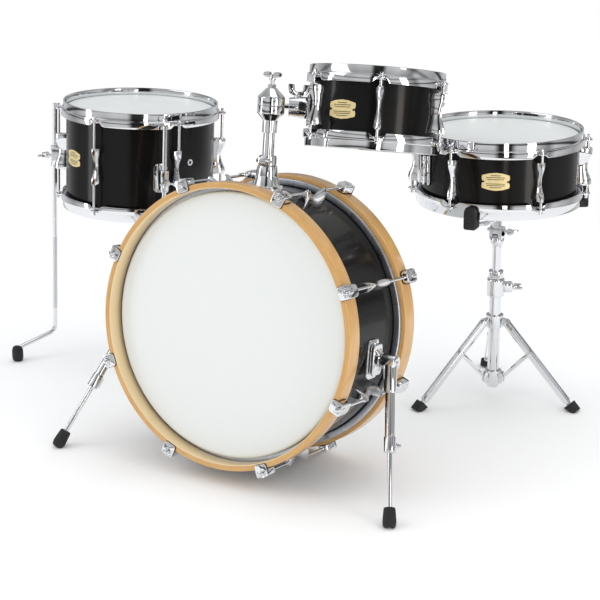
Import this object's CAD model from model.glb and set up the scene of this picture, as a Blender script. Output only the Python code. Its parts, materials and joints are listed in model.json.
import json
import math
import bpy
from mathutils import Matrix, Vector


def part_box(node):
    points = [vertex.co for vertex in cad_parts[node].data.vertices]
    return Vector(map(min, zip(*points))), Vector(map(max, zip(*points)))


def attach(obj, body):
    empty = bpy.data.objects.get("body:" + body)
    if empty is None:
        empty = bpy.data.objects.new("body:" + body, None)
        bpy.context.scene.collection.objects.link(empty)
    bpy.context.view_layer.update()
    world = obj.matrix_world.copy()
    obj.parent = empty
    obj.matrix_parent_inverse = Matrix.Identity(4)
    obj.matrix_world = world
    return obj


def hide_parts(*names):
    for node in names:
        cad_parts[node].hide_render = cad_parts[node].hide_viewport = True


bl_info = {
    "name": "Acoustic Drum Kit",
    "version": (1, 0, 0),
    "blender": (4, 5, 0),
    "location": "3D View > Sidebar > Drum Kit",
    "description": "Builds the finished pieces of a four-piece drum kit around its packed frame",
    "category": "Object",
}

import bmesh
import bpy
from bpy.props import FloatProperty, FloatVectorProperty, PointerProperty
from bpy.types import Operator, Panel, PropertyGroup
from mathutils import Matrix, Vector

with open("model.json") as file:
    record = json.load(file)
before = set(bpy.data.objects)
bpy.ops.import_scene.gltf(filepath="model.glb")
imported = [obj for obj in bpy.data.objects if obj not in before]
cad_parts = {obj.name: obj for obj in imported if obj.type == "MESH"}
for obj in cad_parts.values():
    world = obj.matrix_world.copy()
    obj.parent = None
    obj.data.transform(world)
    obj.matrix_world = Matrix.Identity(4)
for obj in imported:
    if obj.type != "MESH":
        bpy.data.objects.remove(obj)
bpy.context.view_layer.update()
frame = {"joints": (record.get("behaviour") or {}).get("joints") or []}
JOINTS = {j["name"]: j for j in frame["joints"]}
MM = 0.001


# ---- places, in millimetres ----
def move(x=0.0, y=0.0, z=0.0):
    return Matrix.Translation((x, y, z))


def turn(degrees, axis="Z"):
    return Matrix.Rotation(math.radians(degrees), 4, axis)


def middle(node):
    low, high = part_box(node)
    return (low + high) / (2 * MM)


def joint_at(name):
    return Vector(JOINTS[name]["pos_m"]) / MM


def joint_axis(name):
    return Vector(JOINTS[name]["axis"]).normalized()


def upright(node, axis):
    """Place on a node's middle with its Z along axis."""
    axis = Vector(axis)
    if axis.z < 0:
        axis = -axis
    return Matrix.Translation(middle(node)) @ Vector((0, 0, 1)).rotation_difference(
        axis
    ).to_matrix().to_4x4()


def aimed(point, axis, up=(0, 0, 1)):
    """Place on a point with its Z along axis and its X as near to up as it goes."""
    z = Vector(axis).normalized()
    x = Vector(up) - z * z.dot(Vector(up))
    if x.length < 1e-6:
        x = Vector((1, 0, 0))
    x.normalize()
    y = z.cross(x)
    place = Matrix((x, y, z)).transposed().to_4x4()
    place.translation = Vector(point)
    return place


def around(count, first):
    return [turn(first + 360 * i / count) for i in range(count)]


BASS_UP = upright("bass_shell", joint_axis("holder_height"))
BASS = BASS_UP @ turn(90, "X")
TOM_TALL, FLOOR_TALL, SNARE_TALL = 159, 240, 159
TOM = upright("tom_shell", joint_axis("receiver_bolt_turn")) @ move(z=TOM_TALL / 2)
FLOOR_TOM = upright("floor_tom_shell", joint_axis("floor_leg_a_extend")) @ move(z=FLOOR_TALL / 2)
SNARE = upright("snare_shell", (0, 0, 1)) @ move(z=SNARE_TALL / 2)
STAND = Matrix.Translation(Vector((middle("stand_tube").x, middle("stand_tube").y, 0)))
FLIP = Matrix.Scale(-1, 4, Vector((0, 0, 1)))
MIRROR_X = Matrix.Translation((2 * middle("bass_shell").x, 0, 0)) @ Matrix.Scale(
    -1, 4, Vector((1, 0, 0))
)

RISE, EAR_Z = 15.5, -21
TOM_LUG_FROM, FLOOR_LUG_FROM, SNARE_LUG_FROM = -58.8, -86.8, -97.8
# Middle of the rack tom's receiver, with its bore along X, and where the arm bends and ends.
RECEIVER = TOM @ turn(-148.8) @ move(z=-86)
ARM_BEND_AT, ARM_END_AT = 203, 144
LEG_TURNS = (-158.8, -38.8, 81.2)
BASKET_TURNS = (-82.8, 37.2, 157.2)
STAND_LEG_TURNS = (-120.8, -0.8, 119.2)
STRAINER_TURN = -127.8


# ---- settings ----
def length(name, description, default, low, high):
    """Length in millimetres."""
    return FloatProperty(
        name=name,
        description=f"{description}, in millimetres",
        default=default,
        min=low,
        max=high,
    )


def tint(name, description, default):
    """Linear colour."""
    return FloatVectorProperty(
        name=name,
        description=description,
        subtype="COLOR",
        size=3,
        min=0,
        max=1,
        default=default,
    )


class DrumKitSizes(PropertyGroup):
    lug_width: length("Lug width", "Width of a lug at its ends", 19.5, 16.0, 20.0)
    lug_waist: length("Lug waist", "Width of a lug at its middle", 11.0, 9.0, 12.0)
    rod_radius: length("Tension rod radius", "Radius of the tension rods", 2.9, 2.5, 3.0)
    wing_thickness: length(
        "Wing thickness", "Thickness of the cast wings on nuts and bolts", 4.4, 3.0, 5.0
    )


class DrumKitFinishes(PropertyGroup):
    lacquer: tint(
        "Shell lacquer", "Colour of the gloss lacquer on the shells", (0.006, 0.0056, 0.0055)
    )
    maple: tint("Maple", "Colour of the varnished outside of the bass hoops", (0.60, 0.36, 0.13))
    maple_inside: tint(
        "Maple inside", "Colour of the bare inside of the bass hoops", (0.74, 0.58, 0.34)
    )
    film: tint("Head film", "Colour of the coated drum heads", (0.715, 0.735, 0.725))
    chrome: tint("Chrome", "Tint of the chrome plating", (0.78, 0.79, 0.81))
    gold: tint("Badge", "Colour of the brushed badges", (0.9, 0.74, 0.38))
    rubber: tint("Rubber", "Colour of the feet, grips and gaskets", (0.016, 0.016, 0.017))


# ---- finishes ----
def painted(name, colour, metallic, roughness, **sockets):
    """New node material whose even values stand on the shader itself."""
    mat = bpy.data.materials.new(name)
    mat.use_nodes = True
    shader = mat.node_tree.nodes["Principled BSDF"]
    shader.inputs["Base Color"].default_value = (*colour, 1)
    shader.inputs["Metallic"].default_value = metallic
    shader.inputs["Roughness"].default_value = roughness
    for socket, value in sockets.items():
        shader.inputs[socket.replace("_", " ")].default_value = value
    return mat


def node(mat, kind, inputs=None, **settings):
    made = mat.node_tree.nodes.new(kind)
    for name, value in settings.items():
        setattr(made, name, value)
    for name, value in (inputs or {}).items():
        if isinstance(value, bpy.types.NodeSocket):
            mat.node_tree.links.new(value, made.inputs[name])
        else:
            made.inputs[name].default_value = value
    return made


def to_shader(mat, socket, output):
    mat.node_tree.links.new(
        output, mat.node_tree.nodes["Principled BSDF"].inputs[socket]
    )


def object_coords(mat, place=None, stretch=(1, 1, 1)):
    coords = node(mat, "ShaderNodeTexCoord").outputs["Object"]
    if place is None and stretch == (1, 1, 1):
        return coords
    inputs = {"Vector": coords, "Scale": stretch}
    if place is not None:
        inputs["Location"] = place.translation * MM
        inputs["Rotation"] = place.to_euler()
        return node(
            mat, "ShaderNodeMapping", inputs, vector_type="TEXTURE"
        ).outputs["Vector"]
    return node(mat, "ShaderNodeMapping", inputs).outputs["Vector"]


def noise(mat, scale, detail=3.0, coords=None):
    return node(
        mat,
        "ShaderNodeTexNoise",
        {
            "Vector": coords or object_coords(mat),
            "Scale": scale,
            "Detail": detail,
        },
    ).outputs["Fac"]


def map_range(mat, value, low, high, start=0.3, end=0.7):
    return node(
        mat,
        "ShaderNodeMapRange",
        {
            "Value": value,
            "From Min": start,
            "From Max": end,
            "To Min": low,
            "To Max": high,
        },
    ).outputs["Result"]


def bump(mat, height, strength, distance):
    made = node(
        mat,
        "ShaderNodeBump",
        {"Height": height, "Strength": strength, "Distance": distance},
    )
    to_shader(mat, "Normal", made.outputs["Normal"])


def uneven_gloss(mat, scale, low, high):
    to_shader(mat, "Roughness", map_range(mat, noise(mat, scale), low, high))


def mixed(mat, factor, first, second):
    made = node(mat, "ShaderNodeMix", data_type="RGBA")
    for index, value in ((0, factor), (6, first), (7, second)):
        if isinstance(value, bpy.types.NodeSocket):
            mat.node_tree.links.new(value, made.inputs[index])
        else:
            made.inputs[index].default_value = value
    return made.outputs[2]


def arithmetic(mat, operation, *values):
    made = node(mat, "ShaderNodeMath", operation=operation)
    for index, value in enumerate(values):
        if isinstance(value, bpy.types.NodeSocket):
            mat.node_tree.links.new(value, made.inputs[index])
        else:
            made.inputs[index].default_value = value
    return made.outputs[0]


def lacquer_finish(colours):
    mat = painted(
        "gloss_lacquer",
        colours.lacquer,
        0,
        0.16,
        Coat_Weight=0.08,
        Coat_Roughness=0.03,
        Specular_IOR_Level=0.17,
    )
    uneven_gloss(mat, 9, 0.12, 0.22)
    bump(mat, noise(mat, 240, 2), 0.04, 0.0003)
    return mat


def maple_finish(colours):
    mat = painted(
        "varnished_maple", colours.maple, 0, 0.28, Coat_Weight=0.6, Coat_Roughness=0.08
    )
    local = object_coords(mat, BASS)
    parts = node(mat, "ShaderNodeSeparateXYZ", {"Vector": local}).outputs
    angle = arithmetic(mat, "ARCTAN2", parts["X"], parts["Y"])
    radius = arithmetic(
        mat,
        "SQRT",
        arithmetic(
            mat,
            "ADD",
            arithmetic(mat, "MULTIPLY", parts["X"], parts["X"]),
            arithmetic(mat, "MULTIPLY", parts["Y"], parts["Y"]),
        ),
    )
    ply = node(
        mat,
        "ShaderNodeCombineXYZ",
        {
            "X": arithmetic(mat, "MULTIPLY", angle, 1.6),
            "Y": arithmetic(mat, "MULTIPLY", radius, 60),
            "Z": arithmetic(mat, "MULTIPLY", parts["Z"], 40),
        },
    ).outputs["Vector"]
    grain = noise(mat, 4, 6, ply)
    dark = tuple(c * k for c, k in zip(colours.maple, (0.86, 0.76, 0.62)))
    face = mixed(
        mat, map_range(mat, grain, 0, 1), (*dark, 1), (*colours.maple, 1)
    )
    inside = map_range(mat, radius, 1, 0, 0.2636, 0.2648)
    to_shader(mat, "Base Color", mixed(mat, inside, face, (*colours.maple_inside, 1)))
    bump(mat, grain, 0.08, 0.0004)
    return mat


def film_finish(colours):
    mat = painted("coated_film", colours.film, 0, 0.42, Specular_IOR_Level=0.4)
    uneven_gloss(mat, 30, 0.36, 0.5)
    bump(mat, noise(mat, 900, 2), 0.12, 0.0002)
    return mat


def chrome_finish(colours, name="chrome", low=0.03, high=0.07, wave=0.05):
    mat = painted(name, colours.chrome, 1, low)
    uneven_gloss(mat, 35, low, high)
    bump(mat, noise(mat, 60, 2), wave, 0.0004)
    return mat


def gold_finish(colours):
    mat = painted("brushed_gold", colours.gold, 0.55, 0.3)
    streaks = noise(mat, 60, 4, object_coords(mat, None, (1, 1, 30)))
    to_shader(mat, "Roughness", map_range(mat, streaks, 0.22, 0.42))
    bump(mat, streaks, 0.08, 0.0003)
    return mat


def rubber_finish(colours):
    mat = painted("moulded_rubber", colours.rubber, 0, 0.6, Specular_IOR_Level=0.35)
    uneven_gloss(mat, 60, 0.5, 0.72)
    bump(mat, noise(mat, 700, 3), 0.2, 0.0003)
    return mat


def knurled_finish(colours):
    mat = painted(
        "knurled_steel", tuple(c * 0.85 for c in colours.chrome), 1, 0.3
    )
    height = None
    for slope in (0.9, -0.9):
        wave = node(
            mat,
            "ShaderNodeTexWave",
            {
                "Vector": node(
                    mat,
                    "ShaderNodeMapping",
                    {
                        "Vector": object_coords(mat),
                        "Rotation": (0.0, slope, 0.6),
                    },
                ).outputs["Vector"],
                "Scale": 210.0,
            },
            wave_type="BANDS",
            bands_direction="Z",
        ).outputs["Fac"]
        height = wave if height is None else arithmetic(mat, "MULTIPLY", height, wave)
    bump(mat, height, 0.3, 0.0003)
    return mat


def steel_finish(colours):
    mat = painted("drawn_steel", tuple(c * 0.8 for c in colours.chrome), 1, 0.22)
    uneven_gloss(mat, 80, 0.18, 0.3)
    return mat


def alloy_finish(_colours):
    mat = painted("flesh_hoop_alloy", (0.62, 0.66, 0.72), 1, 0.3)
    uneven_gloss(mat, 50, 0.24, 0.38)
    return mat


def bronze_finish(colours):
    mat = painted("darkened_gold", tuple(c * 0.16 for c in colours.gold), 0.5, 0.4)
    uneven_gloss(mat, 200, 0.35, 0.5)
    return mat


FINISHES = {
    "lacquer": lacquer_finish,
    "maple": maple_finish,
    "film": film_finish,
    "chrome": lambda c: chrome_finish(c, "chrome_plate", 0.025, 0.06, 0.03),
    "cast": lambda c: chrome_finish(c, "chrome_casting", 0.05, 0.11, 0.12),
    "gold": gold_finish,
    "bronze": bronze_finish,
    "rubber": rubber_finish,
    "knurl": knurled_finish,
    "steel": steel_finish,
    "alloy": alloy_finish,
}
_made = {}


def finish_of(kind):
    if kind not in _made:
        _made[kind] = FINISHES[kind](bpy.context.scene.drum_kit_finishes)
    return _made[kind]


# ---- shapes, in millimetres ----
def rounded(corners, radius, points=3):
    """Closed outline with each corner eased by up to radius."""
    outline = []
    count = len(corners)
    for i, corner in enumerate(corners):
        p = Vector(corner)
        a, b = Vector(corners[i - 1]) - p, Vector(corners[(i + 1) % count]) - p
        reach = min(radius, a.length * 0.49, b.length * 0.49)
        start, end = p + a.normalized() * reach, p + b.normalized() * reach
        for k in range(points + 1):
            s = k / points
            q = start * (1 - s) ** 2 + p * (2 * s * (1 - s)) + end * s**2
            outline.append(tuple(q))
    return outline


def outwards(bm):
    bmesh.ops.remove_doubles(bm, verts=bm.verts, dist=0.0004)
    bmesh.ops.recalc_face_normals(bm, faces=bm.faces)
    return bm


def soften(bm, width, segments=2, angle=40):
    """Bevels the edges sharper than angle."""
    edges = [
        e
        for e in bm.edges
        if len(e.link_faces) == 2 and e.calc_face_angle(0) > math.radians(angle)
    ]
    if edges and width > 0:
        bmesh.ops.bevel(
            bm,
            geom=edges,
            offset=width,
            offset_type="OFFSET",
            affect="EDGES",
            segments=segments,
            profile=0.5,
            material=-1,
            clamp_overlap=True,
        )
    return bm


def spun(outline, steps=48):
    """Closed outline of (radius, height) points spun about Z."""
    bm = bmesh.new()
    verts = [bm.verts.new((r, 0, z)) for r, z in outline]
    edges = [
        bm.edges.new((a, b))
        for a, b in zip(verts, verts[1:] + verts[:1])
        if a.co.x > 1e-6 or b.co.x > 1e-6
    ]
    bmesh.ops.spin(
        bm,
        geom=verts + edges,
        cent=(0, 0, 0),
        axis=(0, 0, 1),
        dvec=(0, 0, 0),
        angle=math.tau,
        steps=steps,
        use_merge=True,
    )
    return outwards(bm)


def tube(r_in, r_out, z0, z1, edge=0.6, steps=48):
    return spun(
        rounded([(r_in, z0), (r_out, z0), (r_out, z1), (r_in, z1)], edge), steps
    )


def barrel(stations, steps=40, edge=0.0):
    """Solid of (radius, height) stations, closed on its axis."""
    outline = [(0, stations[0][1]), *stations, (0, stations[-1][1])]
    if edge:
        soft = rounded(outline, edge)
        outline = (
            [(0, stations[0][1])]
            + [p for p in soft if p[0] > edge * 1.2]
            + [(0, stations[-1][1])]
        )
    return spun(outline, steps)


def rod_between(a, b, r1, r2=None, sides=24):
    a, b = Vector(a), Vector(b)
    r2 = r1 if r2 is None else r2
    bm = bmesh.new()
    bmesh.ops.create_cone(
        bm,
        cap_ends=True,
        cap_tris=False,
        segments=sides,
        radius1=r1,
        radius2=r2,
        depth=(b - a).length,
        matrix=aimed((a + b) / 2, b - a),
    )
    return bm


def block(x, y, z, edge=0.8, segments=2):
    bm = bmesh.new()
    bmesh.ops.create_cube(
        bm,
        size=1,
        matrix=move(sum(x) / 2, sum(y) / 2, sum(z) / 2)
        @ Matrix.Diagonal((x[1] - x[0], y[1] - y[0], z[1] - z[0], 1)),
    )
    return soften(bm, edge, segments)


def slab(outline, thickness, edge=0.0, segments=2):
    """Flat outline in XY thickened up Z, with its two rims eased."""
    bm = bmesh.new()
    face = bm.faces.new([bm.verts.new((x, y, 0)) for x, y in outline])
    grown = bmesh.ops.extrude_face_region(bm, geom=[face])["geom"]
    bmesh.ops.translate(
        bm,
        vec=(0, 0, thickness),
        verts=[v for v in grown if isinstance(v, bmesh.types.BMVert)],
    )
    outwards(bm)
    return soften(bm, edge, segments, 60)


def lofted(rings, closed_ends=True):
    """Rings of points joined one to the next by bridging."""
    bm = bmesh.new()
    loops = []
    for ring in rings:
        verts = [bm.verts.new(p) for p in ring]
        loops.append(
            [bm.edges.new((a, b)) for a, b in zip(verts, verts[1:] + verts[:1])]
        )
        if closed_ends and len(loops) in (1, len(rings)):
            bm.faces.new(verts)
    for first, second in zip(loops, loops[1:]):
        bmesh.ops.bridge_loops(bm, edges=first + second)
    return outwards(bm)


def eased_path(points, radius, steps=6):
    """Path with each inner corner turned on an arc of about radius."""
    points = [Vector(p) for p in points]
    path = [points[0]]
    for a, p, b in zip(points, points[1:], points[2:]):
        reach = min(radius, (a - p).length * 0.49, (b - p).length * 0.49)
        start, end = (
            p + (a - p).normalized() * reach,
            p + (b - p).normalized() * reach,
        )
        for k in range(steps + 1):
            s = k / steps
            path.append(start * (1 - s) ** 2 + p * (2 * s * (1 - s)) + end * s**2)
    path.append(points[-1])
    return path


def bent_rod(points, radius, bend=12, sides=20, up=(0, 0, 1), shape=None):
    """Round or outlined bar that follows a path, without twist."""
    path = eased_path(points, bend)
    shape = shape or [
        (
            radius * math.cos(math.tau * k / sides),
            radius * math.sin(math.tau * k / sides),
        )
        for k in range(sides)
    ]
    rings = []
    place = None
    for i, p in enumerate(path):
        ahead = path[min(i + 1, len(path) - 1)] - path[max(i - 1, 0)]
        place = aimed(p, ahead, up if place is None else place.col[0].xyz)
        rings.append([place @ Vector((x, y, 0)) for x, y in shape])
    return lofted(rings)


def join(target, part, places=(Matrix(),)):
    """Adds a copy of part to target at each place."""
    mesh = bpy.data.meshes.new("part")
    part.to_mesh(mesh)
    part.free()
    for place in places:
        copy = mesh.copy()
        copy.transform(place)
        if place.determinant() < 0:
            copy.flip_normals()
        target.from_mesh(copy)
        bpy.data.meshes.remove(copy)
    bpy.data.meshes.remove(mesh)
    return target


def wrapped(bm, radius):
    """Bends a flat part, lying in XY with Z outwards, onto a shell of that radius about Z."""
    for v in bm.verts:
        angle, out = v.co.x / radius, radius + v.co.z
        v.co = (out * math.cos(angle), out * math.sin(angle), v.co.y)
    return bm


def piece(name, bm, kind, body, *nodes, places=None, sharp=40):
    """Finished object at the origin, riding on its body and standing for its CAD nodes."""
    if places is not None:
        bm = join(bmesh.new(), bm, places)
    bmesh.ops.scale(bm, vec=(MM, MM, MM), verts=bm.verts)
    limit = math.radians(sharp)
    for face in bm.faces:
        face.smooth = True
    for edge in bm.edges:
        edge.smooth = edge.calc_face_angle(0) < limit
    mesh = bpy.data.meshes.new(name)
    bm.to_mesh(mesh)
    bm.free()
    mesh.materials.append(finish_of(kind))
    obj = bpy.data.objects.new(name, mesh)
    bpy.context.scene.collection.objects.link(obj)
    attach(obj, body)
    if nodes:
        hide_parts(*nodes)
    return obj


# ---- parts shared by the drums ----
def shell(radius, top, bottom):
    wall = 7
    outline = [
        (radius, top - 2),
        (radius - 2, top),
        (radius - wall, top - wall + 2),
        (radius - wall, bottom + wall - 2),
        (radius - 2, bottom),
        (radius, bottom + 2),
    ]
    return spun(outline, 144)


def flanged_hoop(radius, first):
    """Triple-flanged steel hoop with its lip at z = 0, its skirt arched over each rod."""
    outline = [
        (2.8, -1.2),
        (3.2, -0.3),
        (4.4, 0),
        (5.8, 0),
        (6.7, -0.5),
        (6.9, -1.5),
        (6.9, -15.4),
        (7.3, -16.2),
        (9.4, -16.5),
        (10.6, -17.0),
        (11, -18.2),
        (11, -31.4),
        (10.7, -32.6),
        (9.9, -33),
        (9.1, -32.6),
        (8.8, -31.4),
        (8.8, -20.6),
        (8.2, -19.7),
        (7.0, -19.4),
        (3.6, -19.4),
        (2.4, -19.0),
        (2.0, -18.0),
        (2.0, -2.6),
    ]
    bm = spun([(radius + x, z) for x, z in outline], 180)
    for v in bm.verts:
        angle = math.degrees(math.atan2(v.co.y, v.co.x)) - first
        off = abs((angle + 30) % 60 - 30) * math.radians(1) * radius
        if v.co.z < -20.5 and off < 17:
            ease = 0.5 + 0.5 * math.cos(math.pi * max(0, off - 5) / 12)
            v.co.z = -20.5 + (v.co.z + 20.5) * (1 - 0.72 * ease)
    ear = rounded(
        [(9.0, -15), (13, -11), (20, -9.6), (25, -5), (25, 5), (20, 9.6), (13, 11), (9, 15)],
        5,
        4,
    )
    ears = slab(ear, 2.8, 0.7)
    return bm, ears


def head(radius):
    """Film with its rounded collar, and the flesh hoop that holds it."""
    top = -RISE + 0.6
    film = [
        (0, top),
        (radius - 5, top),
        (radius - 2.2, top - 0.1),
        (radius - 0.4, top - 0.9),
        (radius + 0.9, top - 2.8),
        (radius + 1.0, top - 5.1),
        (radius + 0.3, top - 5.1),
        (radius + 0.1, top - 2.9),
        (radius - 0.9, top - 1.5),
        (radius - 2.4, top - 0.7),
        (radius - 5, top - 0.5),
        (0, top - 0.5),
    ]
    hoop = rounded(
        [
            (radius + 0.4, -RISE - 11),
            (radius + 6.6, -RISE - 11),
            (radius + 6.6, -RISE - 4.3),
            (radius + 0.4, -RISE - 4.3),
        ],
        1.4,
    )
    return spun(film, 144), spun(hoop, 144)


def lug(length, depth, radius, sizes):
    """Hourglass lug with a ridge down its front, standing on a shell of that radius."""
    half = length / 2
    stations = (-1, -0.975, -0.93, -0.8, -0.66, -0.5, -0.34, -0.18, 0)
    stations = stations + tuple(-s for s in reversed(stations[:-1]))
    rings = []
    for s in stations:
        swell = min(1.0, max(0.0, (abs(s) - 0.08) / 0.72))
        swell = swell * swell * (3 - 2 * swell)
        wide = sizes.lug_waist + (sizes.lug_width - sizes.lug_waist) * swell
        out = depth * (0.64 + 0.36 * swell)
        if abs(s) > 0.99:
            wide, out = wide * 0.88, out * 0.93
        elif abs(s) > 0.96:
            wide, out = wide * 0.97, out * 0.985
        section = [
            (-1.2, -0.5),
            (0.26, -0.5),
            (0.5, -0.455),
            (0.74, -0.31),
            (0.92, -0.14),
            (1.0, 0.0),
            (0.92, 0.14),
            (0.74, 0.31),
            (0.5, 0.455),
            (0.26, 0.5),
            (-1.2, 0.5),
        ]
        rings.append(
            [
                (radius + (x * out if x > 0 else x), y * wide, s * half)
                for x, y in section
            ]
        )
    bm = lofted(rings)
    for end in (-1, 1):
        join(
            bm,
            barrel([(6.2, half - 4), (6.2, half + 0.4), (5.6, half + 0.9)], 24),
            [move(radius + min(17, depth * 0.72), 0, 0) @ (FLIP if end < 0 else Matrix())],
        )
    return bm


def key_rod(length, sizes):
    """Tension rod, its washer, collar and square head; the washer sits on z = 0."""
    bm = rod_between((0, 0, -length), (0, 0, 0.5), sizes.rod_radius, sides=16)
    join(bm, barrel([(5.4, 0), (5.6, 0.6), (5.4, 1.4), (4.4, 1.5)], 24))
    join(bm, barrel([(4.4, 1.4), (4.6, 2.2), (4.4, 3.4), (3.4, 3.9)], 24))
    join(bm, block((-3.1, 3.1), (-3.1, 3.1), (3.2, 9), 0.7))
    return bm


def wing_screw(sizes, span, tall, hub_r, hub_h, shank_r=3.3, shank=0.0, style="swept"):
    """Cast wing screw: hub up from z = 0, two upright wings across X, shank down."""
    bm = barrel([(hub_r, 0), (hub_r, hub_h * 0.35), (hub_r * 0.72, hub_h)], 32, 0.8)
    half, thick = span / 2, sizes.wing_thickness
    shapes = {
        "swept": [(1.5, hub_h * 0.15), (hub_r * 0.9, hub_h * 0.1), (half * 0.82, tall * 0.34),
                  (half, tall * 0.66), (half * 0.98, tall), (half * 0.66, tall * 0.98),
                  (half * 0.34, tall * 0.6), (1.5, hub_h * 0.85)],
        "square": [(1.5, hub_h * 0.1), (half * 0.4, hub_h * 0.05), (half * 0.75, tall * 0.14),
                   (half * 0.94, tall * 0.42), (half, tall), (half * 0.42, tall),
                   (half * 0.38, tall * 0.5), (1.5, hub_h * 0.7)],
        "oval": [(1.5, hub_h * 0.5), (half * 0.35, tall * 0.3), (half * 0.75, tall * 0.36),
                 (half, tall * 0.66), (half * 0.85, tall * 0.92), (half * 0.5, tall),
                 (half * 0.2, tall * 0.94), (1.5, tall * 0.8)],
    }
    outline = rounded(shapes[style], span * (0.06 if style == "square" else 0.12), 4)
    wing = slab(outline, thick, thick * 0.32, 2)
    join(
        bm,
        wing,
        [
            turn(90, "X") @ move(z=-thick / 2),
            turn(180) @ turn(90, "X") @ move(z=-thick / 2),
        ],
    )
    if shank:
        join(bm, rod_between((0, 0, -shank), (0, 0, 1), shank_r, sides=16))
    return bm


def key_bolt(length, radius=3.0):
    """Square-headed key bolt along Z with its collar, from z = 0."""
    bm = barrel([(radius, 0), (radius, length)], 20)
    join(bm, barrel([(radius * 1.7, length * 0.5), (radius * 1.7, length)], 24, 0.5))
    join(bm, block((-2.8, 2.8), (-2.8, 2.8), (length, length + 6), 0.6))
    return bm


BADGE_RIBS = ((-12, 12), (-8, 18), (-4.5, 19), (4.5, 17), (8.5, 19), (12.5, 10))


def badge(radius):
    """Plain plate with ribs and two screws, bent to the shell about Z, at angle 0 and height 0."""
    outline = rounded(
        [
            (-28, -13),
            (-14, -17),
            (0, -18.5),
            (14, -17),
            (28, -13),
            (28, -4),
            (25.2, 0),
            (28, 4),
            (28, 13),
            (14, 17),
            (0, 18.5),
            (-14, 17),
            (-28, 13),
            (-28, 4),
            (-25.2, 0),
            (-28, -4),
        ],
        2,
        2,
    )
    plate = slab(outline, 0.9, 0.25, 1)
    bmesh.ops.triangulate(plate, faces=[f for f in plate.faces if len(f.verts) > 4])
    bmesh.ops.subdivide_edges(
        plate,
        edges=[e for e in plate.edges if abs(e.verts[0].co.x - e.verts[1].co.x) > 9],
        cuts=6,
        use_grid_fill=False,
    )
    ribs = bmesh.new()
    for y, half in BADGE_RIBS:
        rib = block((-half, half), (y - 0.8, y + 0.8), (0.6, 1.1), 0.2, 1)
        bmesh.ops.subdivide_edges(
            rib,
            edges=[e for e in rib.edges if abs(e.verts[0].co.x - e.verts[1].co.x) > 9],
            cuts=8,
        )
        join(ribs, rib)
    return wrapped(plate, radius + 0.12), wrapped(ribs, radius + 0.12)


def vent(radius):
    """Small grommet with an open middle, on a shell of that radius."""
    return join(
        bmesh.new(),
        tube(3.6, 7.2, -0.6, 1.2, 0.8, 32),
        [move(radius) @ turn(90, "Y")],
    )


def build_drum(prefix, body, place, radius, tall, lug_from, badge_at, vent_at, sizes):
    """Shell, two hoops, two heads, lugs, rods and badge of one drum."""
    ends = [place, place @ move(z=-tall) @ FLIP]
    piece(f"{prefix}_lacquered_shell", shell(radius, -RISE, RISE - tall), "lacquer", body,
          f"{prefix}_shell", places=[place])
    hoop, ears = flanged_hoop(radius, lug_from)
    join(hoop, ears, [a @ move(radius, 0, EAR_Z - 2.8) for a in around(6, lug_from)])
    piece(f"{prefix}_flanged_hoops", hoop, "chrome", body, f"{prefix}_hoops", places=ends)
    film, flesh = head(radius)
    piece(f"{prefix}_head_films", film, "film", body, f"{prefix}_heads", places=ends)
    piece(f"{prefix}_flesh_hoops", flesh, "alloy", body, places=ends)
    spots = around(6, lug_from)
    piece(f"{prefix}_hourglass_lugs", lug(80, 26, radius, sizes), "cast", body,
          f"{prefix}_lugs", places=[place @ a @ move(z=-tall / 2) for a in spots])
    reach = tall / 2 - 40 + EAR_Z + 10
    piece(f"{prefix}_tension_rods", key_rod(reach, sizes), "chrome", body, f"{prefix}_rods",
          places=[e @ a @ move(radius + 17, 0, EAR_Z + 0.1) for e in ends for a in spots])
    turn_at, high = badge_at
    plate, ribs = badge(radius)
    piece(f"{prefix}_plate", plate, "gold", body, f"{prefix}_badge",
          places=[place @ turn(turn_at) @ move(z=high)])
    piece(f"{prefix}_plate_ribs", ribs, "bronze", body,
          places=[place @ turn(turn_at) @ move(z=high)])
    screws = bmesh.new()
    for side in (-1, 1):
        spot = turn(math.degrees(side * 24.6 / radius)) @ move(radius + 0.4) @ turn(90, "Y")
        join(screws, barrel([(2.1, 0), (2.1, 0.9), (1.2, 1.5)], 16), [spot])
    piece(f"{prefix}_plate_screws", screws, "rubber", body,
          places=[place @ turn(turn_at) @ move(z=high)])
    turn_at, high = vent_at
    piece(f"{prefix}_vent", vent(radius), "chrome", body,
          places=[place @ turn(turn_at) @ move(z=high)])


# Camera in metres from the bass drum, in millimetres of lens and in degrees.
CAMERA_FROM_BASS, CAMERA_LENS = (1.7167, -2.6790, 1.0338), 103.3
CAMERA_PAN, CAMERA_DIP, CAMERA_ROLL = 31.19, 17.39, -0.29
# Softboxes: name, place and size in metres, power in watts, colour.
LIGHTS = (
    ("key_softbox", (-2.4, -2.6, 3.2), (2.6, 2.6), 21, (1, 0.99, 0.97)),
    ("top_softbox", (0.4, 0.6, 3.6), (3.0, 2.0), 19, (1, 1, 1)),
    ("right_strip", (3.2, -0.9, 0.7), (0.6, 2.4), 22, (1, 0.93, 0.86)),
    ("middle_strip", (2.5, -2.9, 0.7), (0.36, 2.2), 11, (1, 0.92, 0.85)),
    ("left_strip", (-2.6, -2.2, 0.7), (0.5, 2.4), 15, (0.92, 0.95, 1)),
)
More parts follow.
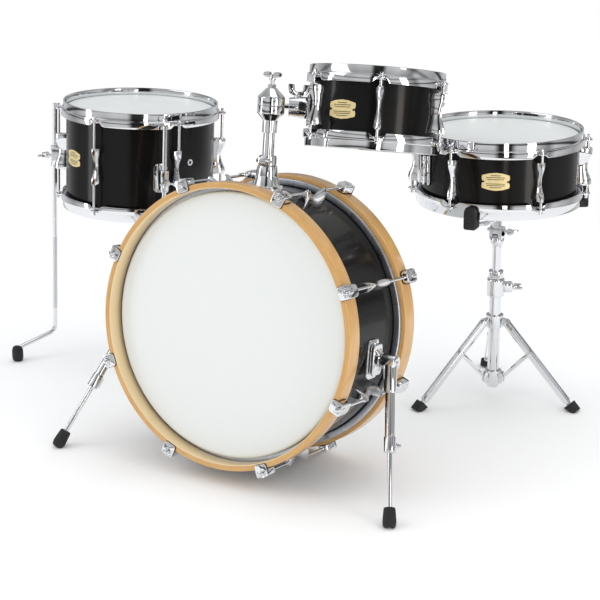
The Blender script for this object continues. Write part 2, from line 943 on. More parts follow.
# Brightness of the studio that the plating mirrors, from nadir to zenith and all the way round.
FLAG_TURN = 57.35
HEIGHT_BANDS = (
    (0.0, 0.35), (0.18, 0.8), (0.28, 0.55), (0.33, 0.9), (0.42, 0.95), (0.475, 0.8), (0.492, 0.1),
    (0.508, 0.1), (0.525, 0.95), (0.6, 0.85), (0.64, 0.3), (0.69, 0.95), (0.84, 0.5), (1.0, 0.95),
)
ROUND_BANDS = (
    (0.0, 0.55), (0.1, 0.95), (0.2, 0.5), (0.27, 0.95), (0.36, 0.8), (0.4, 0.95), (0.455, 0.9),
    (0.475, 0.04), (0.52, 0.04), (0.54, 0.9), (0.6, 1.0), (0.67, 0.35), (0.7, 0.9), (0.8, 0.55),
    (0.9, 0.95), (1.0, 0.55),
)


# ---- operators ----
class DRUMKIT_OT_stage(Operator):
    """Adds the floor, the lights and the camera"""

    bl_idname = "drumkit.stage"
    bl_label = "Stage"

    def execute(self, context):
        scene = context.scene
        bm = bmesh.new()
        bmesh.ops.create_circle(bm, cap_ends=True, segments=96, radius=1.7)
        mesh = bpy.data.meshes.new("studio_floor")
        bm.to_mesh(mesh)
        bm.free()
        floor = bpy.data.objects.new("studio_floor", mesh)
        scene.collection.objects.link(floor)
        mat = painted("floor_paper", (0.93, 0.93, 0.93), 0, 0.9)
        bump(mat, noise(mat, 300, 2), 0.02, 0.0002)
        mesh.materials.append(mat)

        target = Vector(middle("bass_shell")) * MM
        camera = bpy.data.objects.new("kit_camera", bpy.data.cameras.new("kit_camera"))
        scene.collection.objects.link(camera)
        camera.data.lens = CAMERA_LENS
        camera.data.sensor_width = 36
        camera.data.clip_end = 100
        camera.location = target + Vector(CAMERA_FROM_BASS)
        camera.rotation_euler = (
            turn(CAMERA_PAN) @ turn(90 - CAMERA_DIP, "X") @ turn(CAMERA_ROLL)
        ).to_euler()
        scene.camera = camera

        for row in LIGHTS:
            self.light(scene, *row)
        self.surroundings(scene)
        scene.view_settings.view_transform = "Standard"
        return {"FINISHED"}

    @staticmethod
    def light(scene, name, place, size, power, colour):
        data = bpy.data.lights.new(name, "AREA")
        data.shape = "RECTANGLE"
        data.size, data.size_y = size
        data.energy = power
        data.color = colour
        lamp = bpy.data.objects.new(name, data)
        lamp.location = place
        aim = Vector((0.1, -0.1, 0.4)) - Vector(place)
        lamp.rotation_euler = aim.to_track_quat("-Z", "Y").to_euler()
        scene.collection.objects.link(lamp)

    @staticmethod
    def surroundings(scene):
        """White to the camera, with light and dark bands for the plating to mirror."""
        world = bpy.data.worlds.new("studio")
        world.use_nodes = True
        tree = world.node_tree
        tree.nodes.clear()
        new, link = tree.nodes.new, tree.links.new
        coords = new("ShaderNodeTexCoord")
        swung = new("ShaderNodeMapping")
        swung.inputs["Rotation"].default_value = (0, 0, math.radians(FLAG_TURN))
        sweep = new("ShaderNodeTexGradient")
        sweep.gradient_type = "RADIAL"
        split = new("ShaderNodeSeparateXYZ")
        scale = new("ShaderNodeMath")
        scale.operation = "MULTIPLY_ADD"
        scale.inputs[1].default_value = 0.5
        scale.inputs[2].default_value = 0.5
        link(coords.outputs["Generated"], swung.inputs[0])
        link(swung.outputs[0], sweep.inputs[0])
        link(coords.outputs["Generated"], split.inputs[0])
        link(split.outputs["Z"], scale.inputs[0])
        bands = DRUMKIT_OT_stage.ramp(tree, scale.outputs[0], HEIGHT_BANDS)
        flags = DRUMKIT_OT_stage.ramp(tree, sweep.outputs[0], ROUND_BANDS)
        both = new("ShaderNodeMix")
        both.data_type = "RGBA"
        both.blend_type = "MULTIPLY"
        both.inputs[0].default_value = 1.0
        link(bands, both.inputs[6])
        link(flags, both.inputs[7])
        mirrored, seen = new("ShaderNodeBackground"), new("ShaderNodeBackground")
        link(both.outputs[2], mirrored.inputs[0])
        mirrored.inputs[1].default_value = 0.78
        seen.inputs[0].default_value = (1, 1, 1, 1)
        seen.inputs[1].default_value = 1.0
        path, mix = new("ShaderNodeLightPath"), new("ShaderNodeMixShader")
        out = new("ShaderNodeOutputWorld")
        soft, soft_mix = new("ShaderNodeBackground"), new("ShaderNodeMixShader")
        soft.inputs[0].default_value = (0.97, 0.985, 1, 1)
        soft.inputs[1].default_value = 0.98
        link(path.outputs["Is Glossy Ray"], mix.inputs[0])
        link(soft.outputs[0], mix.inputs[1])
        link(mirrored.outputs[0], mix.inputs[2])
        link(path.outputs["Is Camera Ray"], soft_mix.inputs[0])
        link(mix.outputs[0], soft_mix.inputs[1])
        link(seen.outputs[0], soft_mix.inputs[2])
        link(soft_mix.outputs[0], out.inputs[0])
        scene.world = world

    @staticmethod
    def ramp(tree, value, stops):
        """Grey ramp with those (position, level) stops."""
        ramp = tree.nodes.new("ShaderNodeValToRGB")
        ends = ramp.color_ramp.elements
        for end, (position, level) in zip((ends[0], ends[1]), (stops[0], stops[-1])):
            end.position, end.color = position, (level, level, level, 1)
        for position, level in stops[1:-1]:
            ends.new(position).color = (level, level, level, 1)
        tree.links.new(value, ramp.inputs[0])
        return ramp.outputs[0]


class DRUMKIT_OT_bass_drum(Operator):
    """Builds the bass drum's shell, wooden hoops and heads"""

    bl_idname = "drumkit.bass_drum"
    bl_label = "Bass drum"

    def execute(self, context):
        ends = [BASS, BASS @ FLIP]
        piece("bass_lacquered_shell", shell(254, 101.5, -101.5), "lacquer", "root",
              "bass_shell", places=[BASS])
        outline = rounded([(263, 89.5), (275, 89.5), (275, 127.5), (263, 127.5)], 2.6, 4)
        piece("bass_maple_hoops", spun(outline, 192), "maple", "root", "bass_hoops", places=ends)
        film = [(0, 102.1), (247, 102.1), (251, 101.9), (253.4, 101), (254.8, 99.2), (255.2, 96.5),
                (255.2, 89.4), (254.5, 89.4), (254.4, 96.5), (254, 98.9), (252.8, 100.4),
                (250.8, 101.3), (247, 101.6), (0, 101.6)]
        piece("bass_head_films", spun(film, 192), "film", "root", "bass_heads", places=ends)
        flesh = rounded([(254.4, 79.6), (267.6, 79.6), (267.6, 89.2), (254.4, 89.2)], 2)
        piece("bass_flesh_hoops", spun(flesh, 192), "alloy", "root", places=ends)
        return {"FINISHED"}


class DRUMKIT_OT_bass_fittings(Operator):
    """Builds the bass drum's lugs, claws and tension rods"""

    bl_idname = "drumkit.bass_fittings"
    bl_label = "Bass lugs, claws and rods"

    def execute(self, context):
        sizes = context.scene.drum_kit_sizes
        spots = around(8, 112.5)
        ends = [BASS, BASS @ FLIP]
        both = [e @ a for e in ends for a in spots]
        piece("bass_hourglass_lugs", lug(70, 36, 254, sizes), "cast", "root", "bass_lugs",
              places=[BASS @ a for a in spots])
        shield = rounded([(97, -8), (103, -12), (116, -13), (131.4, -13), (131.4, 13), (116, 13),
                          (103, 12), (97, 8)], 4, 4)
        claw = bmesh.new()
        join(claw, self.upright_slab(shield, 13.6, 3.2))
        nose = rounded([(265.4, -9), (268, -12.5), (276, -13), (290, -13), (290, 13), (276, 13),
                        (268, 12.5), (265.4, 9)], 4, 4)
        join(claw, slab(nose, 3.4, 1.1), [move(z=128)])
        join(claw, spun(rounded([(4.2, 118), (8.6, 118), (8.6, 131.3), (7.6, 131.8), (4.2, 130.4)],
                                1.2), 32), [move(283)])
        piece("bass_claw_hooks", claw, "cast", "root", "bass_claws", places=both)
        gasket = self.upright_slab(
            rounded([(96, -9), (102, -13), (116, -13.8), (131.2, -13.8), (131.2, 13.8), (116, 13.8),
                     (102, 13), (96, 9)], 4, 4), 0.8, 0.2, 275.15)
        join(gasket, slab(rounded([(264.6, -9.6), (267, -13.6), (289, -13.6), (289, 13.6),
                                   (267, 13.6), (264.6, 9.6)], 4, 4), 0.5, 0.1), [move(z=127.55)])
        piece("bass_claw_gaskets", gasket, "rubber", "root", places=both)
        rod = key_rod(94, sizes)
        piece("bass_tension_rods", rod, "chrome", "root", "bass_rods",
              places=[e @ move(283, 0, 130.6) for e in both])
        return {"FINISHED"}

    @staticmethod
    def upright_slab(outline, thickness, edge, radius=275.8):
        """Slab of (height, across) points that stands outwards on a radius along X."""
        bm = slab([(y, z) for z, y in outline], thickness, edge, 3)
        bmesh.ops.transform(
            bm,
            matrix=move(radius) @ Matrix(((0, 0, 1, 0), (1, 0, 0, 0), (0, 1, 0, 0), (0, 0, 0, 1))),
            verts=bm.verts,
        )
        return bm


class DRUMKIT_OT_spurs(Operator):
    """Builds both folding spurs and their brackets"""

    bl_idname = "drumkit.spurs"
    bl_label = "Spurs"

    def execute(self, context):
        pivot = joint_at("spur_right_fold")
        down = joint_axis("spur_right_extend")
        foot = pivot + down * (pivot.z / -down.z)
        along = aimed(pivot, down, (1, 0, 0))
        length = (foot - pivot).length
        drop = 36.3
        bracket = bmesh.new()
        outline = rounded([(-38, -15), (-30, -21), (30, -21), (38, -15), (38, 15), (30, 21),
                           (-30, 21), (-38, 15)], 7, 4)
        plate = slab(outline, 6, 1.6)
        body = slab(rounded([(-30, -14), (-22, -17), (22, -17), (30, -14), (30, 14), (22, 17),
                             (-22, 17), (-30, 14)], 7, 4), 8, 3, 3)
        join(body, plate, [move(z=-8)])
        shoulder = [[(x * k, y * k, z) for x, y in ((-27, -13), (27, -13), (27, 13), (-27, 13))]
                    for k, z in ((1, 0), (0.92, 5), (0.6, 13), (0.52, 16))]
        shoulder = lofted(shoulder)
        soften(shoulder, 3.4, 3)
        join(body, shoulder)
        join(body, barrel([(15.2, 2), (15.2, 15.4), (14, 16.6)], 40))
        for x in (-29, 29):
            join(body, barrel([(4, -3), (4, 0.8), (2.6, 2)], 20), [move(x)])
        spot = BASS_UP @ move(259.5, 0, -drop) @ turn(90, "Y")
        join(bracket, body, [spot])
        both = [Matrix(), MIRROR_X]
        piece("spur_bracket_castings", bracket, "cast", "root", "spur_brackets", places=both)
        for side, place in (("right", Matrix()), ("left", MIRROR_X)):
            body_name = f"spur_{side}"
            knuckle = bmesh.new()
            pin = Matrix.Translation(pivot) @ turn(90, "Y")
            disc = rounded([(4, -16.4), (15, -16.4), (15, 13), (9, 14.6), (4, 14.6)], 2.4, 4)
            join(knuckle, spun(disc, 40), [pin])
            join(knuckle, barrel([(4, -1), (4, 17)], 20), [pin])
            join(knuckle, barrel([(12.6, -6), (13.2, 4), (12.6, 22), (12.3, 58), (11.4, 60)], 40),
                 [along])
            join(knuckle, barrel([(5.6, -6), (5.6, 10)], 6, 0),
                 [along @ move(0, 0, 34) @ turn(90, "X") @ move(z=9)])
            piece(f"spur_{side}_sleeve", knuckle, "cast", body_name, f"spur_tube_{side}",
                  places=[place])
            pipe = spun(rounded([(5.2, 55), (9.5, 55), (9.5, 172), (5.2, 172)], 0.8), 40)
            join(pipe, tube(9.2, 11.3, 143, 172, 1.2, 40))
            join(pipe, block((-5, 5), (-17, -8), (147, 168), 1.6))
            join(pipe, key_bolt(7), [move(0, -12.5, 158) @ turn(90, "Y") @ move(z=4)])
            piece(f"spur_{side}_pipe", pipe, "chrome", body_name, places=[place @ along])
            rod = spun(rounded([(0.1, 60), (4.78, 60), (4.78, 290), (0.1, 290)], 0.1), 24)
            piece(f"spur_{side}_rod", rod, "chrome", f"{body_name}_leg", f"spur_rod_{side}",
                  places=[place @ along])
            rubber = barrel([(6, length - 39.5), (10.2, length - 38.5), (11.2, length - 35),
                             (12.4, length - 20), (12.9, length - 12), (11.6, length - 4.5),
                             (8, length - 1.5)], 40)
            self.keep_above(rubber, along)
            piece(f"spur_{side}_foot", rubber, "rubber", f"{body_name}_leg", places=[place @ along])
            spike = barrel([(3.2, length - 8), (3, length - 1.5), (1.2, length - 0.3)], 20)
            self.keep_above(spike, along)
            piece(f"spur_{side}_spike", spike, "steel", f"{body_name}_leg", places=[place @ along])
        return {"FINISHED"}

    @staticmethod
    def keep_above(bm, place, level=0.15):
        """Flattens what would go below the floor."""
        back = place.inverted()
        for v in bm.verts:
            p = place @ v.co
            if p.z < level:
                p.z = level
                v.co = back @ p


class DRUMKIT_OT_tom_holder(Operator):
    """Builds the tom holder: base, post, lock, ball clamp, nut, seat and arm"""

    bl_idname = "drumkit.tom_holder"
    bl_label = "Tom holder"

    def execute(self, context):
        sizes = context.scene.drum_kit_sizes
        base = spun(rounded([(11.2, 250), (33.5, 250), (33.5, 258), (27, 261), (21.5, 280),
                             (18.8, 299.8), (11.2, 299.8)], 2.2, 3), 64)
        join(base, barrel([(8, 0), (8, 14), (7, 15)], 28, 0.5),
             [move(-16, 0, 278) @ turn(-90, "Y")])
        for a in around(4, 45):
            join(base, barrel([(3.6, 0), (3.6, 2.4), (2.2, 3.4)], 16), [a @ move(29.5, 0, 258.2)])
        piece("holder_base_casting", base, "cast", "root", "tom_holder_base", places=[BASS_UP])
        piece("holder_base_bolt", wing_screw(sizes, 46, 19, 7.6, 12, 3.3, 14), "cast",
              "holder_bolt", "holder_wing_bolt",
              places=[BASS_UP @ move(-33, 0, 278) @ turn(-90, "Y") @ turn(90)])
        post = spun(rounded([(0.2, 200), (11, 200), (11, 397.6), (0.2, 397.6)], 0.8), 48)
        piece("holder_post_tube", post, "chrome", "holder_post", "tom_post", places=[BASS_UP])
        lock = spun(rounded([(10.9, 300.3), (17, 300.3), (17, 318), (10.9, 318)], 1.6, 4), 48)
        join(lock, block((-9, 9), (-22, -12), (302, 316), 2))
        join(lock, key_bolt(9), [move(0, -18.5, 309) @ turn(90, "Y") @ move(z=6)])
        join(lock, barrel([(4.5, 0), (4.5, 4)], 6),
             [move(0, -18.5, 309) @ turn(-90, "Y") @ move(z=8)])
        piece("holder_memory_lock", lock, "cast", "holder_post", places=[BASS_UP])
        clamp = self.clamp()
        piece("holder_ball_housing", clamp, "cast", "holder_post", "ball_clamp", places=[BASS_UP])
        stem = barrel([(8.6, 446.5), (8.6, 453.4)], 6, 0.0)
        join(stem, rod_between((0, 0, 448), (0, 0, 470), 3.9, sides=24))
        piece("holder_stem", stem, "chrome", "holder_post", places=[BASS_UP])
        nut = wing_screw(sizes, 38, 16, 6, 11, style="oval")
        piece("holder_wing_nut", nut, "cast", "clamp_nut", "clamp_wing_nut",
              places=[BASS_UP @ move(z=461.5) @ turn(20)])
        ball = joint_at("ball_tilt")
        bend = RECEIVER @ Vector((ARM_BEND_AT, 0, 0))
        end = RECEIVER @ Vector((ARM_END_AT, 0, 0))
        reach = bend - ball
        seat = spun(rounded([(9.5, 400.3), (15.9, 400.3), (15.9, 427.7), (9.5, 427.7)], 1), 40)
        piece("holder_ball_seat", seat, "rubber", "seat", "ball_seat", places=[BASS_UP])
        arm = bmesh.new()
        bmesh.ops.create_uvsphere(arm, u_segments=32, v_segments=20, radius=12.9,
                                  matrix=Matrix.Translation(ball))
        hexagon = [(5.7 * math.cos(math.radians(60 * k)), 5.7 * math.sin(math.radians(60 * k)))
                   for k in range(6)]
        hexagon = rounded(hexagon, 0.7, 2)
        up = (TOM.to_3x3() @ Vector((0, 0, 1)))
        start = ball + reach.normalized() * 8
        join(arm, bent_rod([start, bend, end], 5.7, 9, up=up, shape=hexagon))
        piece("holder_ball_arm", arm, "chrome", "arm", "tom_arm", sharp=24)
        return {"FINISHED"}

    @staticmethod
    def clamp():
        """Two-part ball housing with a window for the arm on its open side."""
        local = BASS_UP.inverted() @ RECEIVER @ Vector((ARM_BEND_AT, 0, 0))
        facing = math.degrees(math.atan2(local.y, local.x))
        bm = spun(rounded([(11.2, 362), (14.1, 362), (14.1, 386), (24, 397), (26, 400), (26, 413.4),
                           (25.2, 414), (16.2, 414), (16.2, 399.9), (11.2, 399.9)], 1.2), 64)
        join(bm, spun(rounded([(16.2, 414.4), (25.2, 414.4), (26, 415), (26, 429), (24.5, 431.5),
                               (9.5, 446.8), (0.1, 446.8), (0.1, 428.2), (16.2, 428.2)], 1.0), 64))
        cutter = bpy.data.meshes.new("window")
        wedge = bmesh.new()
        bmesh.ops.create_cube(wedge, size=1, matrix=turn(facing) @ move(22, 0, 414)
                              @ Matrix.Diagonal((22, 30, 28, 1)))
        wedge.to_mesh(cutter)
        wedge.free()
        solid = bpy.data.meshes.new("housing")
        bm.to_mesh(solid)
        bm.free()
        keep = bpy.data.objects.new("housing", solid)
        cut = bpy.data.objects.new("window", cutter)
        for o in (keep, cut):
            bpy.context.scene.collection.objects.link(o)
        modifier = keep.modifiers.new("window", "BOOLEAN")
        modifier.operation = "DIFFERENCE"
        modifier.object = cut
        modifier.solver = "EXACT"
        graph = bpy.context.evaluated_depsgraph_get()
        made = bmesh.new()
        made.from_mesh(keep.evaluated_get(graph).to_mesh())
        for o in (keep, cut):
            bpy.data.objects.remove(o)
        for m in (solid, cutter):
            bpy.data.meshes.remove(m)
        return made


class DRUMKIT_OT_rack_tom(Operator):
    """Builds the rack tom with its receiver and wing bolt"""

    bl_idname = "drumkit.rack_tom"
    bl_label = "Rack tom"

    def execute(self, context):
        sizes = context.scene.drum_kit_sizes
        build_drum("tom", "tom", TOM, 127, TOM_TALL, TOM_LUG_FROM, (TOM_LUG_FROM - 32.5, -86),
                   (TOM_LUG_FROM + 150, -80), sizes)
        mount = spun(rounded([(6.3, 0), (22, 0), (20.8, 18), (18.2, 36.6), (17, 37.2), (9, 36.2),
                              (6.3, 34)], 1.2, 3), 56)
        cast = join(bmesh.new(), mount, [move(132.4) @ turn(90, "Y")])
        plate = wrapped(slab(rounded([(-15, -20), (-9, -28), (9, -28), (15, -20), (15, 20), (9, 28),
                                      (-9, 28), (-15, 20)], 6, 4), 4.6, 1.4), 127.4)
        join(cast, plate)
        for z in (-22.5, 22.5):
            join(cast, barrel([(3.6, 0), (3.6, 1.4), (2.4, 2.6)], 20),
                 [move(131.6, 0, z) @ turn(90, "Y")])
        join(cast, tube(3.6, 8.4, 8, 21.5, 0.8, 28), [move(152)])
        piece("tom_receiver_casting", cast, "cast", "tom", "tom_receiver", places=[RECEIVER])
        piece("receiver_bolt_wings", wing_screw(sizes, 43, 23, 7, 9, 3.3, 12, "square"), "cast",
              "receiver_bolt", "receiver_wing_bolt",
              places=[RECEIVER @ move(152, 0, 22)])
        return {"FINISHED"}


class DRUMKIT_OT_floor_tom(Operator):
    """Builds the floor tom, its leg brackets and its three legs"""

    bl_idname = "drumkit.floor_tom"
    bl_label = "Floor tom and legs"

    def execute(self, context):
        sizes = context.scene.drum_kit_sizes
        build_drum("floor_tom", "root", FLOOR_TOM, 165, FLOOR_TALL, FLOOR_LUG_FROM,
                   (FLOOR_LUG_FROM - 29, -118), (FLOOR_LUG_FROM + 74, -112), sizes)
        bracket = wrapped(slab(rounded([(-15, -26), (-9, -32), (9, -32), (15, -26), (15, 26),
                                        (9, 32), (-9, 32), (-15, 26)], 6, 4), 4.4, 1.4), 165.6)
        body = slab(rounded([(168, -10), (190, -9.4), (206, -9), (208, 0), (206, 9), (190, 9.4),
                             (168, 10)], 5, 4), 44, 2.4, 3)
        join(bracket, body, [move(z=-22)])
        for z in (-26, 26):
            join(bracket, barrel([(3.6, 0), (3.6, 1.4), (2.4, 2.6)], 20),
                 [move(169.8, 0, z) @ turn(90, "Y")])
        join(bracket, tube(5.2, 9.4, -23.5, -20, 0.8, 28), [move(199)])
        join(bracket, tube(5.2, 9.4, 20, 23.5, 0.8, 28), [move(199)])
        join(bracket, wing_screw(sizes, 38, 21, 7.8, 13, 3.3, 6),
             [move(214, 0, 0) @ turn(90, "Y") @ turn(90)])
        piece("leg_bracket_castings", bracket, "cast", "root", "leg_brackets",
              places=[FLOOR_TOM @ turn(t) @ move(z=-140) for t in LEG_TURNS])
        for letter, t in zip("abc", LEG_TURNS):
            self.leg(letter, t)
        return {"FINISHED"}

    @staticmethod
    def leg(letter, angle):
        straight = FLOOR_TOM @ turn(angle)
        top = straight @ Vector((199, 0, -20))
        knee = straight @ Vector((199, 0, -556))
        out = turn(angle + 45) @ Vector((99, 0, 0))
        foot = Vector((knee.x + out.x, knee.y + out.y, 0))
        body = f"floor_leg_{letter}"
        ankle = foot + Vector((0, 0, 30))
        rod = bent_rod([top, knee, ankle], 4.92, 16, 24, up=(1, 0, 0))
        piece(f"{body}_rod", rod, "chrome", body, body)
        middle_from = straight @ Vector((199, 0, -330))
        middle_to = straight @ Vector((199, 0, -500))
        piece(f"{body}_knurl", rod_between(middle_from, middle_to, 5.0, sides=28), "knurl", body)
        rubber = barrel([(7.5, 0.2), (10.6, 1.6), (12.4, 6), (12.9, 13), (12.5, 24), (11.4, 31),
                         (9, 34.6), (5.6, 35.6)], 40)
        for z in (15, 20, 25):
            join(rubber, tube(11, 12.95, z, z + 1.8, 0.6, 40))
        piece(f"{body}_foot", rubber, "rubber", body, places=[Matrix.Translation(foot)])


class DRUMKIT_OT_snare(Operator):
    """Builds the snare drum, its strainer, lever, butt plate and wires"""

    bl_idname = "drumkit.snare"
    bl_label = "Snare drum"

    def execute(self, context):
        sizes = context.scene.drum_kit_sizes
        build_drum("snare", "snare", SNARE, 165, SNARE_TALL, SNARE_LUG_FROM,
                   (SNARE_LUG_FROM + 30, -79.5), (SNARE_LUG_FROM + 150, -80), sizes)
        side = SNARE @ turn(STRAINER_TURN)
        outline = rounded([(-15, -108), (15, -108), (15, -44), (-15, -44)], 5, 4)
        plate = wrapped(slab(outline, 3.6, 1), 166.2)
        cast = bmesh.new()
        join(cast, plate)
        join(cast, block((169, 181), (-11, -7.2), (-106, -62), 1.6))
        join(cast, block((169, 181), (7.2, 11), (-106, -62), 1.6))
        join(cast, block((169, 181), (-11, 11), (-64, -45), 2.6))
        join(cast, barrel([(6.4, 0), (6.4, 2), (3, 2.4), (3, 4)], 32), [move(175, 0, -46)])
        for z in (-101, -51):
            join(cast, barrel([(3.2, 0), (3.2, 1.2), (2, 2)], 18),
                 [move(169.4, 0, z) @ turn(90, "Y")])
        outline = rounded([(-14, -112), (14, -112), (14, -62), (-14, -62)], 5, 4)
        butt = wrapped(slab(outline, 3.6, 1), 166.2)
        join(butt, block((169, 179), (-11, 11), (-106, -80), 2.2))
        for y in (-6, 6):
            join(butt, barrel([(2.6, 0), (2.6, 3)], 12), [move(178, y, -93) @ turn(90, "Y")])
        join(cast, butt, [turn(180)])
        piece("snare_strainer_casting", cast, "cast", "snare", "snare_strainer", places=[side])
        knob = tube(2, 6.4, 0, 7.6, 0.8, 36)
        piece("snare_strainer_knob", knob, "knurl", "snare", places=[side @ move(175, 0, -43)])
        lever = bmesh.new()
        join(lever, rod_between((0, -13, 0), (0, 13, 0), 3, sides=24))
        join(lever, rod_between((0, -6.4, 0), (0, 6.4, 0), 5, sides=28))
        join(lever, block((-3, 8), (-6.3, 6.3), (0, 30), 1.8, 3))
        join(lever, block((7, 11), (-6.3, 6.3), (-2, 62), 1.7, 3))
        piece("snare_lever_handle", lever, "cast", "strainer_lever", "snare_lever",
              places=[side @ move(175, 0, -100)])
        wires = bmesh.new()
        for i in range(20):
            y = -28.5 + 3 * i
            join(wires, rod_between((-112, y, 0), (112, y, 0), 0.9, sides=8))
        for x in (-120, 120):
            join(wires, block((x - 9, x + 9), (-31, 31), (-0.8, 0.8), 0.4))
        piece("snare_wire_set", wires, "steel", "snare", "snare_wires",
              places=[side @ move(z=RISE - SNARE_TALL - 2.6)])
        return {"FINISHED"}


class DRUMKIT_OT_stand(Operator):
    """Builds the folding snare stand"""

    bl_idname = "drumkit.stand"
    bl_label = "Snare stand"

    def execute(self, context):
        sizes = context.scene.drum_kit_sizes
        piece("stand_lower_tube", tube(9.65, 12.5, 22, 262, 0.8), "chrome", "root", "stand_tube",
              places=[STAND])
        legs = [turn(t) for t in STAND_LEG_TURNS]
        casting = tube(12.6, 18, 30, 60, 1.4)
        for a in legs:
            for y in (-6.2, 2.9):
                join(casting, slab(rounded([(13, 30), (24, 33), (26.5, 45), (24, 57), (13, 60)], 3),
                                   3.3, 0.8), [a @ move(0, y + 3.3, 0) @ turn(90, "X")])
            join(casting, rod_between((20, -7.4, 45), (20, 7.4, 45), 3, sides=18), [a])
        join(casting, spun(rounded([(12.6, 228), (18.6, 228), (19, 231), (19, 264), (17.4, 267),
                                    (9.7, 267), (9.7, 262.3), (12.6, 262.3)], 1.2), 48))
        join(casting, block((17, 36), (-8, 8), (236, 258), 3, 3), [turn(31.2)])
        join(casting, wing_screw(sizes, 36, 19, 7.6, 12, 3.3, 6),
             [turn(31.2) @ move(38, 0, 247) @ turn(90, "Y") @ turn(90)])
        piece("stand_collars", casting, "cast", "root", "stand_castings", places=[STAND])
        hub = spun(rounded([(12.56, 158), (19, 158), (19, 186), (12.56, 186)], 1.6, 4), 48)
        for a in legs:
            join(hub, slab(rounded([(15, 163), (27, 164.6), (33.6, 172), (27, 179.4), (15, 181)], 5,
                                   4), 8, 1), [a @ move(0, 4, 0) @ turn(90, "X")])
            join(hub, rod_between((27, -8.5, 172), (27, 8.5, 172), 3, sides=18), [a])
        piece("stand_sliding_hub", hub, "cast", "stand_hub", "stand_hub", places=[STAND])
        for letter, a in zip("abc", legs):
            self.leg(letter, STAND @ a @ move(27, 0, 172) @ turn(-44, "Y"))
            self.brace(letter, STAND @ a)
        self.upper(sizes)
        for letter, t in zip("abc", BASKET_TURNS):
            self.basket_arm(letter, STAND @ turn(t) @ move(27, 0, 405))
        return {"FINISHED"}

    @staticmethod
    def leg(letter, place):
        body = f"stand_leg_{letter}"
        strap = slab(rounded([(-5.8, -214), (5.8, -214), (5.8, -8), (6.8, 0), (4, 6), (-4, 6),
                              (-6.8, 0), (-5.8, -8)], 3.4, 3), 3.3, 0.7)
        bm = join(bmesh.new(), strap, [move(0, -4.3, 0) @ turn(90, "X"),
                                       move(0, 7.6, 0) @ turn(90, "X")])
        join(bm, block((-4.8, 4.8), (-4.3, 4.3), (-219, -201), 1))
        for z in (-84, 0):
            for y in (-1, 1):
                join(bm, barrel([(4, 0), (4, 0.6), (2.6, 1.5)], 18),
                     [move(0, y * 7.5, z) @ turn(-90 * y, "X")])
        piece(f"{body}_straps", bm, "chrome", body, body, places=[place])
        rubber = slab(rounded([(-10.6, -11), (-6, -13), (6, -13), (10.6, -11), (10.6, 11), (6, 13),
                               (-6, 13), (-10.6, 11)], 5, 4), 22, 3.6, 3)
        bmesh.ops.translate(rubber, vec=(0, 0, -241.6), verts=rubber.verts)
        DRUMKIT_OT_spurs.keep_above(rubber, place)
        piece(f"{body}_foot", rubber, "rubber", body, places=[place])

    @staticmethod
    def brace(letter, place):
        top = Vector((27 + 84 * math.sin(math.radians(44)), 172 - 84 * math.cos(math.radians(44))))
        foot = Vector((20, 45))
        length = (top - foot).length - 4
        lean = math.degrees(math.atan2(top.x - foot.x, top.y - foot.y))
        bm = slab(rounded([(-4.6, -4.6), (4.6, -4.6), (4.6, length), (-4.6, length)], 4.4, 5), 4.8,
                  0.9)
        body = f"stand_brace_{letter}"
        piece(f"{body}_strap", bm, "chrome", body, body,
              places=[place @ move(20, 0, 45) @ turn(lean, "Y") @ move(0, 2.4, 0) @ turn(90, "X")])

    @staticmethod
    def upper(sizes):
        post = barrel([(9.3, 110), (9.45, 111), (9.45, 346)], 48)
        piece("stand_upper_tube", post, "chrome", "stand_post", "stand_post", places=[STAND])
        fork = tube(9.5, 16, 267.3, 284, 1.4)
        join(fork, block((-6, 6), (-23, -13), (269.5, 281.5), 2))
        join(fork, key_bolt(6), [move(0, -18, 275.5) @ turn(90, "Y") @ move(z=5)])
        join(fork, barrel([(11, 340), (15, 346), (15, 356), (13.6, 358)], 40))
        for s in (-1, 1):
            join(fork, block((s * 10.5 - 3.9, s * 10.5 + 3.9), (-11, 11), (354, 374), 1.4))
            join(fork, rod_between((s * 10.5 - 3.9, 0, 372), (s * 10.5 + 3.9, 0, 372), 11,
                                   sides=40))
        piece("stand_tilt_fork", fork, "cast", "stand_post", places=[STAND])
        basket = rod_between((-6.2, 0, 372), (6.2, 0, 372), 10.9, sides=40)
        join(basket, rod_between((-22, 0, 372), (24, 0, 372), 3.9, sides=20))
        join(basket, block((-6.2, 6.2), (-9, 9), (372, 398), 1.2))
        join(basket, barrel([(16, 395), (19, 397), (19, 413), (17.4, 415)], 48))
        for t in BASKET_TURNS:
            join(basket, block((14, 30), (-2.9, 2.9), (399, 411), 0.9), [turn(t)])
            join(basket, rod_between((27, -8, 405), (27, 8, 405), 3, sides=18), [turn(t)])
        join(basket, wing_screw(sizes, 36, 17, 7.4, 11),
             [move(25, 0, 372) @ turn(90, "Y") @ turn(90)])
        piece("stand_basket_hub", basket, "cast", "basket", "stand_basket", places=[STAND])

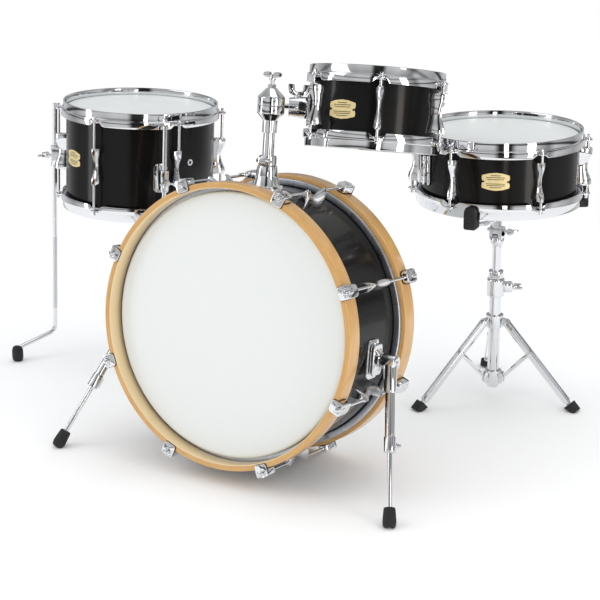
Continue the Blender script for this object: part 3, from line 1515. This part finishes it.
    @staticmethod
    def basket_arm(letter, place):
        body = f"basket_arm_{letter}"
        lip, seat = 165 + 7.5 - 27, 596 - SNARE_TALL - 405
        fork = bmesh.new()
        for y in (-5.2, 5.2):
            join(fork, block((-4.6, 24), (y - 1.9, y + 1.9), (-5, 5), 1.2))
        join(fork, block((20, 31), (-7.1, 7.1), (-5, 5), 1.4))
        piece(f"{body}_fork", fork, "cast", body, body, places=[place])
        route = [(28, 0, 0), (52, 0, 1.5), (lip - 10, 0, seat - 13), (lip + 6, 0, seat - 13)]
        bar = bent_rod(route, 4.9, 14)
        piece(f"{body}_bar", bar, "chrome", body, places=[place])
        grip = block((lip - 12, lip + 20), (-13, 13), (seat - 18, seat - 0.6), 4.4, 4)
        outline = [(-13, 0), (13, 0), (13, 38), (8, 47.6), (-8, 47.6), (-13, 38)]
        tongue = slab(rounded(outline, 7, 5), 11.6, 3, 3)
        join(grip, tongue, [move(lip + 7.6, 0, seat - 18)
                            @ Matrix(((0, 0, 1, 0), (1, 0, 0, 0), (0, 1, 0, 0), (0, 0, 0, 1)))])
        for k in range(3):
            join(grip, block((lip + 18.6, lip + 19.8), (-10, 10),
                             (seat + 2 + 7 * k, seat + 4.2 + 7 * k), 0.5))
        piece(f"{body}_grip", grip, "rubber", body, places=[place])


OPERATORS = (
    DRUMKIT_OT_stage,
    DRUMKIT_OT_bass_drum,
    DRUMKIT_OT_bass_fittings,
    DRUMKIT_OT_spurs,
    DRUMKIT_OT_tom_holder,
    DRUMKIT_OT_rack_tom,
    DRUMKIT_OT_floor_tom,
    DRUMKIT_OT_snare,
    DRUMKIT_OT_stand,
)


class DRUMKIT_PT_panel(Panel):
    bl_idname = "DRUMKIT_PT_panel"
    bl_label = "Drum Kit"
    bl_space_type = "VIEW_3D"
    bl_region_type = "UI"
    bl_category = "Drum Kit"

    def draw(self, context):
        layout = self.layout
        for group in (context.scene.drum_kit_sizes, context.scene.drum_kit_finishes):
            box = layout.box()
            for name in group.__annotations__:
                box.prop(group, name)
        column = layout.column(align=True)
        for cls in OPERATORS:
            column.operator(cls.bl_idname)


CLASSES = (DrumKitSizes, DrumKitFinishes, *OPERATORS, DRUMKIT_PT_panel)


def register():
    for cls in CLASSES:
        bpy.utils.register_class(cls)
    bpy.types.Scene.drum_kit_sizes = PointerProperty(type=DrumKitSizes)
    bpy.types.Scene.drum_kit_finishes = PointerProperty(type=DrumKitFinishes)


def unregister():
    del bpy.types.Scene.drum_kit_finishes
    del bpy.types.Scene.drum_kit_sizes
    for cls in reversed(CLASSES):
        bpy.utils.unregister_class(cls)


def main():
    register()
    bpy.ops.drumkit.stage()
    bpy.ops.drumkit.bass_drum()
    bpy.ops.drumkit.bass_fittings()
    bpy.ops.drumkit.spurs()
    bpy.ops.drumkit.tom_holder()
    bpy.ops.drumkit.rack_tom()
    bpy.ops.drumkit.floor_tom()
    bpy.ops.drumkit.snare()
    bpy.ops.drumkit.stand()


if __name__ == "__main__":
    main()
